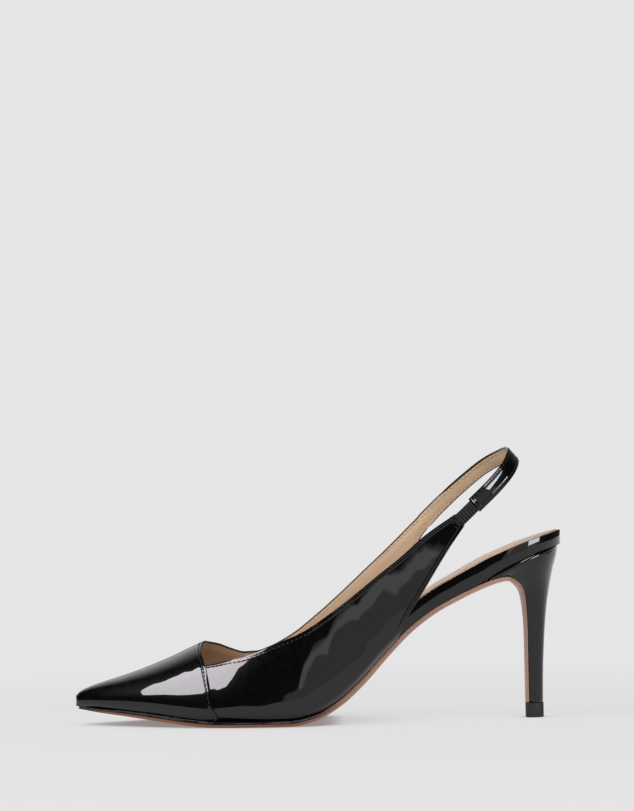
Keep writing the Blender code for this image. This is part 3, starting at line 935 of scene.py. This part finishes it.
def build_sock():
    """The tan sheet that the foot stands on, a little smaller than the board all round."""
    middle = (BOARD_START + LENGTH) / 2
    shrink_x, shrink_y = 0.985, 0.94

    def place(x, y, lift):
        inner = middle + (x - middle) * shrink_x
        return Vector((inner, y, board_top(inner) + lift))

    piece = build_slab(
        "sock", board_stations(),
        lambda x, side: read(BOARD, side_name(side), x) * shrink_y,
        lambda x, y: place(x, y, CLEARANCE + SOCK_THICKNESS), lambda x, y: place(x, y, NODE_GAP),
        ("sock",), (sock_leather,)
    )
    round_edges(piece, 0.4)


def heel_outline(share, half):
    """Half-width of the heel's section at a share of the way from its front to its back."""
    widest_at = 0.3
    if share < widest_at:
        return half * (1 - (1 - front_share(half)) * ((widest_at - share) / widest_at) ** 2)
    return half * math.sqrt(max(1 - ((share - widest_at) / (1 - widest_at)) ** 2.2, 0.0))


def heel_ring(front, back, half, level=None):
    """One section of the heel, from its front edge round the back to its other front edge."""
    inner = []
    for i in range(RING_STEPS + 1):
        share = 1 - (1 - i / RING_STEPS) ** 1.6
        x = blend(front[0], back[0], share)
        z = blend(front[1], back[1], share) if level is None else level(x)
        inner.append(Vector((x, heel_outline(share, half), z)))
    outer = [Vector((p.x, -p.y, p.z)) for p in reversed(inner[:-1])]
    return inner + outer


def build_loft(name, rings, nodes, materials):
    """A closed piece through all the rings, with a flat front and two ends."""
    bm = bmesh.new()
    count = len(rings[0])
    patch(bm, len(rings), count, lambda i, j: rings[i][j])
    patch(
        bm, len(rings), SLAB_COLUMNS,
        lambda i, j: rings[i][-1].lerp(rings[i][0], j / (SLAB_COLUMNS - 1)),
    )
    for ring in (rings[0], rings[-1]):
        patch(bm, count // 2 + 1, 2, lambda i, j: ring[i] if j else ring[count - 1 - i])
    return new_piece(name, bm, nodes, materials, closed=True)


def build_heel():
    """The covered heel: rings from its tip up to the lip, and one that follows the seat."""
    rings = []
    for walk in reversed([s for s in sole_stations(0.6) if s > BREAST_WALK[0] - 0.01]):
        front = sole_point(walk, read(SOLE, "thick", walk) + NODE_GAP)
        back = (read(HEEL, "back_x", walk), read(HEEL, "back_z", walk))
        rings.append(heel_ring(front, back, read(HEEL, "half", walk)))
    lip = rings[-1][0]
    rings.append(heel_ring(
        (lip.x, 0.0), (LENGTH - HEEL_LIP, 0.0), BREAST[0][3],
        lambda x: read(SEAT, "z", x) - NODE_GAP,
    ))
    build_loft("covered_heel", rings, ("heel",), (patent,))


def build_top_lift():
    """The lift stands out a little behind and beside the tip of the heel."""
    tip_x, _z, _thick, tip_half, tip_back, _back_z = BREAST[-1]
    rings = [
        heel_ring((tip_x + CLEARANCE, z), (tip_back + 0.2, z), tip_half + 0.1)
        for z in (0.0, LIFT_HEIGHT)
    ]
    piece = build_loft("top_lift_cap", rings, ("top_lift",), (rubber,))
    round_edges(piece, EDGE_ROUND)


def build_elastic():
    """Flat elastic with raised ribs across it; its ends run inside the leather."""
    bm = bmesh.new()
    rib_mark = bm.verts.layers.float.new("height")
    around, rows, ribs = 20, 136, 8
    tilt, ends_hidden = -6, 3.0
    along = (Vector(ELASTIC[-1]) - Vector(ELASTIC[0])).normalized()
    across = width_direction(tilt)
    out = across.cross(along).normalized()

    def place(i, j):
        t = i / (rows - 1)
        middle = Vector(path_point(ELASTIC, t)) + along * (t - 0.5) * ends_hidden
        angle = 2 * math.pi * j / around
        rib = 0.5 + 0.25 * math.cos(2 * math.pi * ribs * t)
        wide = math.copysign(abs(math.cos(angle)) ** 0.4, math.cos(angle))
        deep = math.copysign(abs(math.sin(angle)) ** 0.7, math.sin(angle))
        return middle + across * wide * ELASTIC_WIDTH / 2 + out * deep * rib

    row_mark = bm.verts.layers.int.new("row")
    patch(bm, rows, around + 1, place, row_mark)
    # The rib height, which the elastic's finish also reads to paint shade into the grooves
    for vert in bm.verts:
        vert[rib_mark] = 0.5 + 0.5 * math.cos(2 * math.pi * ribs * vert[row_mark] / (rows - 1))
    new_piece("ribbed_elastic", bm, ("elastic",), (elastic_weave,))


def inset(place, s, distance):
    """The share across a band that lies this far from its upper edge."""
    return 1 - distance / (place(s, 1.0) - place(s, 0.0)).length


def surface_row(place, low, high, inward=0.0):
    """Points with their outward directions, along a quarter's upper edge."""
    row = []
    for s in spread(low, high, STITCH_STEPS):
        t = inset(place, s, STITCH_INSET)
        at = place(s, t, inward)
        out = (place(s, t, inward - 0.5) - at).normalized()
        row.append((at, -out if inward else out))
    return row


def strap_row(up, face):
    """Points along the strap: face 1 is its outside, and -1 its lining."""
    depth = UPPER_WALL / 2 if face > 0 else UPPER_WALL / 2 - LINING_INSET
    row = []
    for t in spread(0.0, LAST_STITCH, STITCH_STEPS):
        out = (strap_point(t, up, 1.0) - strap_point(t, up)).normalized()
        row.append((strap_point(t, up, depth), out * face))
    return row


def cross_row(place, outward):
    """Points straight across the middle of a band, near its end."""
    return [(place(share), outward) for share in spread(0.2, 0.8, CROSS_STEPS)]


def seam_row():
    """Points ahead of the toe piece's rear edge, from the sole up to the corner and the crown."""
    row = []
    for column in range(len(SHARES)):
        at = toe_point(THROAT_X - STITCH_INSET, column)
        ahead = toe_point(THROAT_X - STITCH_INSET, min(column + 1, len(SHARES) - 1))
        behind = toe_point(THROAT_X - STITCH_INSET, max(column - 1, 0))
        fore = toe_point(THROAT_X - STITCH_INSET - 1, column)
        row.append((at, (ahead - behind).cross(fore - at).normalized()))
    return row


def stitches_on(row):
    """Where each stitch of a row lies: its middle, its direction and its outward side."""
    walked = [0.0]
    for here, ahead in zip(row, row[1:]):
        walked.append(walked[-1] + (ahead[0] - here[0]).length)
    count = int(walked[-1] / STITCH_PITCH)
    places = []
    for n in range(count):
        at = (n + 0.5) * walked[-1] / count
        i = min(int(np.searchsorted(walked, at, side="right")) - 1, len(row) - 2)
        share = (at - walked[i]) / max(walked[i + 1] - walked[i], 1e-6)
        along = (row[i + 1][0] - row[i][0]).normalized()
        places.append((row[i][0].lerp(row[i + 1][0], share), along, row[i][1]))
    return places


def sew(name, rows, made):
    """Rows of short raised stitches, each a small spindle that lies along its seam."""
    bm = bmesh.new()
    for row in rows:
        for at, along, out in stitches_on(row):
            across = out.cross(along).normalized()
            out = along.cross(across)
            size = (across * STITCH_WIDTH / 2, out * STITCH_RISE / 2, along * STITCH_LENGTH / 2)
            place = Matrix(size).transposed().to_4x4()
            place.translation = at + out * STITCH_PROUD
            bmesh.ops.create_uvsphere(bm, u_segments=6, v_segments=4, radius=1.0, matrix=place)
    new_piece(name, bm, (), (made,), closed=True, weld=0.001)


def sew_outside():
    """The seam of the toe piece, the toplines, both edges of the strap, and the elastic's ends."""
    quarter_out = (near_point(1.0, 0.5, -1.0) - near_point(1.0, 0.5)).normalized()
    strap_out = (strap_point(1.0, 0.5, 1.0) - strap_point(1.0, 0.5)).normalized()
    quarter_end = 1 - 2 * STITCH_INSET / (QUARTER_TOP_END - THROAT_X)
    strap_end = 0.972
    rows = [
        seam_row(),
        surface_row(near_point, FIRST_STITCH, LAST_STITCH),
        surface_row(far_point, 0.02, 1.0),
        strap_row(1 - STRAP_INSET, 1),
        strap_row(STRAP_INSET, 1),
        cross_row(lambda t: near_point(quarter_end, t), quarter_out),
        cross_row(lambda up: strap_point(strap_end, up, UPPER_WALL / 2), strap_out),
    ]
    sew("black_stitching", rows, thread)


def sew_lining():
    """The rows of the toplines and of the strap, as they come through on the lining."""
    rows = [
        surface_row(near_point, FIRST_STITCH, LAST_STITCH, LINING_INSET),
        surface_row(far_point, 0.03, 1.0, LINING_INSET),
        strap_row(1 - STRAP_INSET, -1),
        strap_row(STRAP_INSET, -1),
    ]
    sew("lining_stitching", rows, tan_thread)


build_vamp_and_sling()
build_outer_quarter()
build_outsole()
build_board()
build_sock()
build_heel()
build_top_lift()
build_elastic()
sew_outside()
sew_lining()

# Camera: the photograph's side view, from 103 mm above the floor, with a little pitch and roll;
# metres and degrees
PHOTO_HEIGHT = 811
SENSOR = 36.0
CAMERA_DISTANCE = 1.25
CAMERA_HEIGHT = 0.103
CAMERA_X = 0.0003
CAMERA_ROLL = 1.0
CAMERA_PITCH = 2.44
PIXELS_PER_METRE = 2008.0


def set_camera():
    """A lens that gives the photograph's pixels to the metre at the shoe."""
    camera_data = bpy.data.cameras.new("camera")
    camera = bpy.data.objects.new("camera", camera_data)
    scene.collection.objects.link(camera)
    camera_data.sensor_width = SENSOR
    camera_data.lens = PIXELS_PER_METRE * CAMERA_DISTANCE * SENSOR / PHOTO_HEIGHT
    camera.location = (CAMERA_X, -CAMERA_DISTANCE, CAMERA_HEIGHT)
    camera.rotation_euler = (math.radians(90 + CAMERA_PITCH), math.radians(CAMERA_ROLL), 0)
    scene.camera = camera


# Studio: the paper glows, and is dimmer near the shoe by a wide and by a close shade
PAPER = 0.787
PAPER_DIFFUSE = 0.12
DIFFUSE_FADE = (0.12, 0.5)
WIDE_REACH = 0.035
WIDE_DIMMEST = 0.82
CLOSE_REACH = 0.009
CLOSE_DIMMEST = 0.48
SHADE_COLOUR = (1.0, 0.9, 0.87)
WHITE = (1.0, 1.0, 1.0)

# What the patent leather mirrors: a dark room, a bright back, and past the heel a grey wall with
# a lighter card. Their soft edges are stretches of a direction's x, y or z, from -1 to 1.
DARK_SIDE = 0.015
BRIGHT_BACK = 0.8
GREY_WALL = 0.57
GREY_CARD = 0.7
WALL_LEFT = (0.09, 0.115)
WALL_FRONT = (-0.6, -0.4)
WALL_TOP = (0.5, 0.6)
CARD_LEFT = (0.105, 0.12)
CARD_RIGHT = (0.175, 0.195)
CARD_LOW = (0.05, 0.07)
CARD_TOP = (0.19, 0.23)


def make_paper():
    """A pale floor that fades into the backdrop, with a soft shadow only where the shoe stands."""
    made = finish("pale paper", {"Roughness": 0.9, "Specular IOR Level": 0.1})
    place = on_object(made)
    tree = made.node_tree
    shader = tree.nodes["Principled BSDF"]
    fibres = tint(made, mottle(made, 500.0), (0.50, 0.50, 0.50), (0.53, 0.53, 0.53))
    wire(made, fibres, "Base Color")
    wide = add(made, "AmbientOcclusion", {"Distance": WIDE_REACH}, samples=16).outputs["AO"]
    close = add(made, "AmbientOcclusion", {"Distance": CLOSE_REACH}, samples=16).outputs["AO"]
    glow = multiply(
        made, ease(made, wide, 0.0, 1.0, WIDE_DIMMEST, 1.0), PAPER,
        ease(made, close, 0.1, 1.0, CLOSE_DIMMEST, 1.0),
    )
    warmth = tint(made, ease(made, close, 0.1, 1.0), SHADE_COLOUR, WHITE)
    lit = add(made, "Emission", {"Strength": glow, "Color": warmth})
    away = add(made, "VectorMath", {0: place}, operation="LENGTH").outputs["Value"]
    share = ease(made, away, *DIFFUSE_FADE, PAPER_DIFFUSE, 0.0)
    both = add(made, "MixShader", {0: share, 1: lit.outputs[0], 2: shader.outputs[0]})
    tree.links.new(both.outputs[0], tree.nodes["Material Output"].inputs["Surface"])
    return made


def lay_floor():
    bm = bmesh.new()
    bmesh.ops.create_grid(bm, x_segments=1, y_segments=1, size=20.0)
    mesh = bpy.data.meshes.new("floor")
    bm.to_mesh(mesh)
    bm.free()
    mesh.materials.append(make_paper())
    floor = bpy.data.objects.new("floor", mesh)
    scene.collection.objects.link(floor)


def bright_back(world, x, y, z):
    """The lit backdrop, which fades towards the floor and towards the heel's side."""
    return multiply(
        world, ease(world, y, 0.3, 0.8, 0.0, BRIGHT_BACK), ease(world, z, 0.05, 0.3),
        ease(world, x, 0.1, 0.5, 1.0, 0.15),
    )


def grey_wall(world, x, y, z):
    """The wall past the heel, whose left edge leans over as it rises, with its card."""
    lean = reckon(
        world, "ADD", ease(world, z, 0.25, 0.5, 0.0, 0.22), ease(world, z, 0.04, 0.1, 0.035, 0.0)
    )
    wall = ease(world, reckon(world, "ADD", x, lean), *WALL_LEFT, 0.0, GREY_WALL)
    card = multiply(
        world, ease(world, x, *CARD_LEFT, 0.0, GREY_CARD), ease(world, x, *CARD_RIGHT, 1.0, 0.0),
        ease(world, z, *CARD_LOW), ease(world, z, *CARD_TOP, 1.0, 0.0),
    )
    return multiply(
        world, reckon(world, "ADD", wall, card), ease(world, z, *WALL_TOP, 1.0, 0.0),
        ease(world, y, *WALL_FRONT, 1.0, 0.0),
    )


def light_world():
    """The room that lights the shoe and that it mirrors; the camera itself sees only paper."""
    world = bpy.data.worlds.new("studio")
    scene.world = world
    world.use_nodes = True
    parts = add(world, "SeparateXYZ", {0: add(world, "TexCoord").outputs["Generated"]}).outputs
    direction = (parts["X"], parts["Y"], parts["Z"])
    behind = reckon(world, "ADD", bright_back(world, *direction), DARK_SIDE)
    studio = reckon(world, "MAXIMUM", behind, grey_wall(world, *direction))
    seen = add(world, "LightPath").outputs["Is Camera Ray"]
    level = add(world, "Mix", {0: seen, 2: studio, 3: PAPER}).outputs[0]
    background = world.node_tree.nodes["Background"]
    world.node_tree.links.new(level, background.inputs["Strength"])
    background.inputs["Color"].default_value = (*WHITE, 1.0)


def softbox(name, lit, direction, size, radiance, colour=WHITE, turn=0.0):
    """A flat studio light 1 m from the point that it lights, out of the camera's sight."""
    data = bpy.data.lights.new(name, "AREA")
    data.shape = "RECTANGLE"
    data.size, data.size_y = size
    data.energy = radiance * math.pi * size[0] * size[1]
    data.color = colour
    light = bpy.data.objects.new(name, data)
    scene.collection.objects.link(light)
    towards = Vector(direction).normalized()
    light.location = Vector(lit) + towards
    facing = towards.to_track_quat("Z", "Y").to_matrix()
    light.rotation_euler = (facing @ Matrix.Rotation(math.radians(turn), 3, "Z")).to_euler()
    light.visible_camera = False


def light_studio():
    """One light for the toe's long highlight, one for the strap and one for the seat's band."""
    toe, strap, seat = (-0.06, -0.03, 0.025), (0.087, -0.021, 0.115), (0.106, -0.021, 0.085)
    softbox("main softbox", toe, (-0.582, -0.376, 0.733), (0.33, 0.85), 12.0, (1.0, 0.95, 1.0), 22)
    softbox("strap light", strap, (0.238, -0.64, 0.72), (0.62, 0.13), 16.0, turn=44)
    softbox("side strip", seat, (0.77, -0.60, 0.16), (0.42, 0.22), 12.0)


set_camera()
lay_floor()
light_world()
light_studio()
scene.view_settings.view_transform = "Standard"
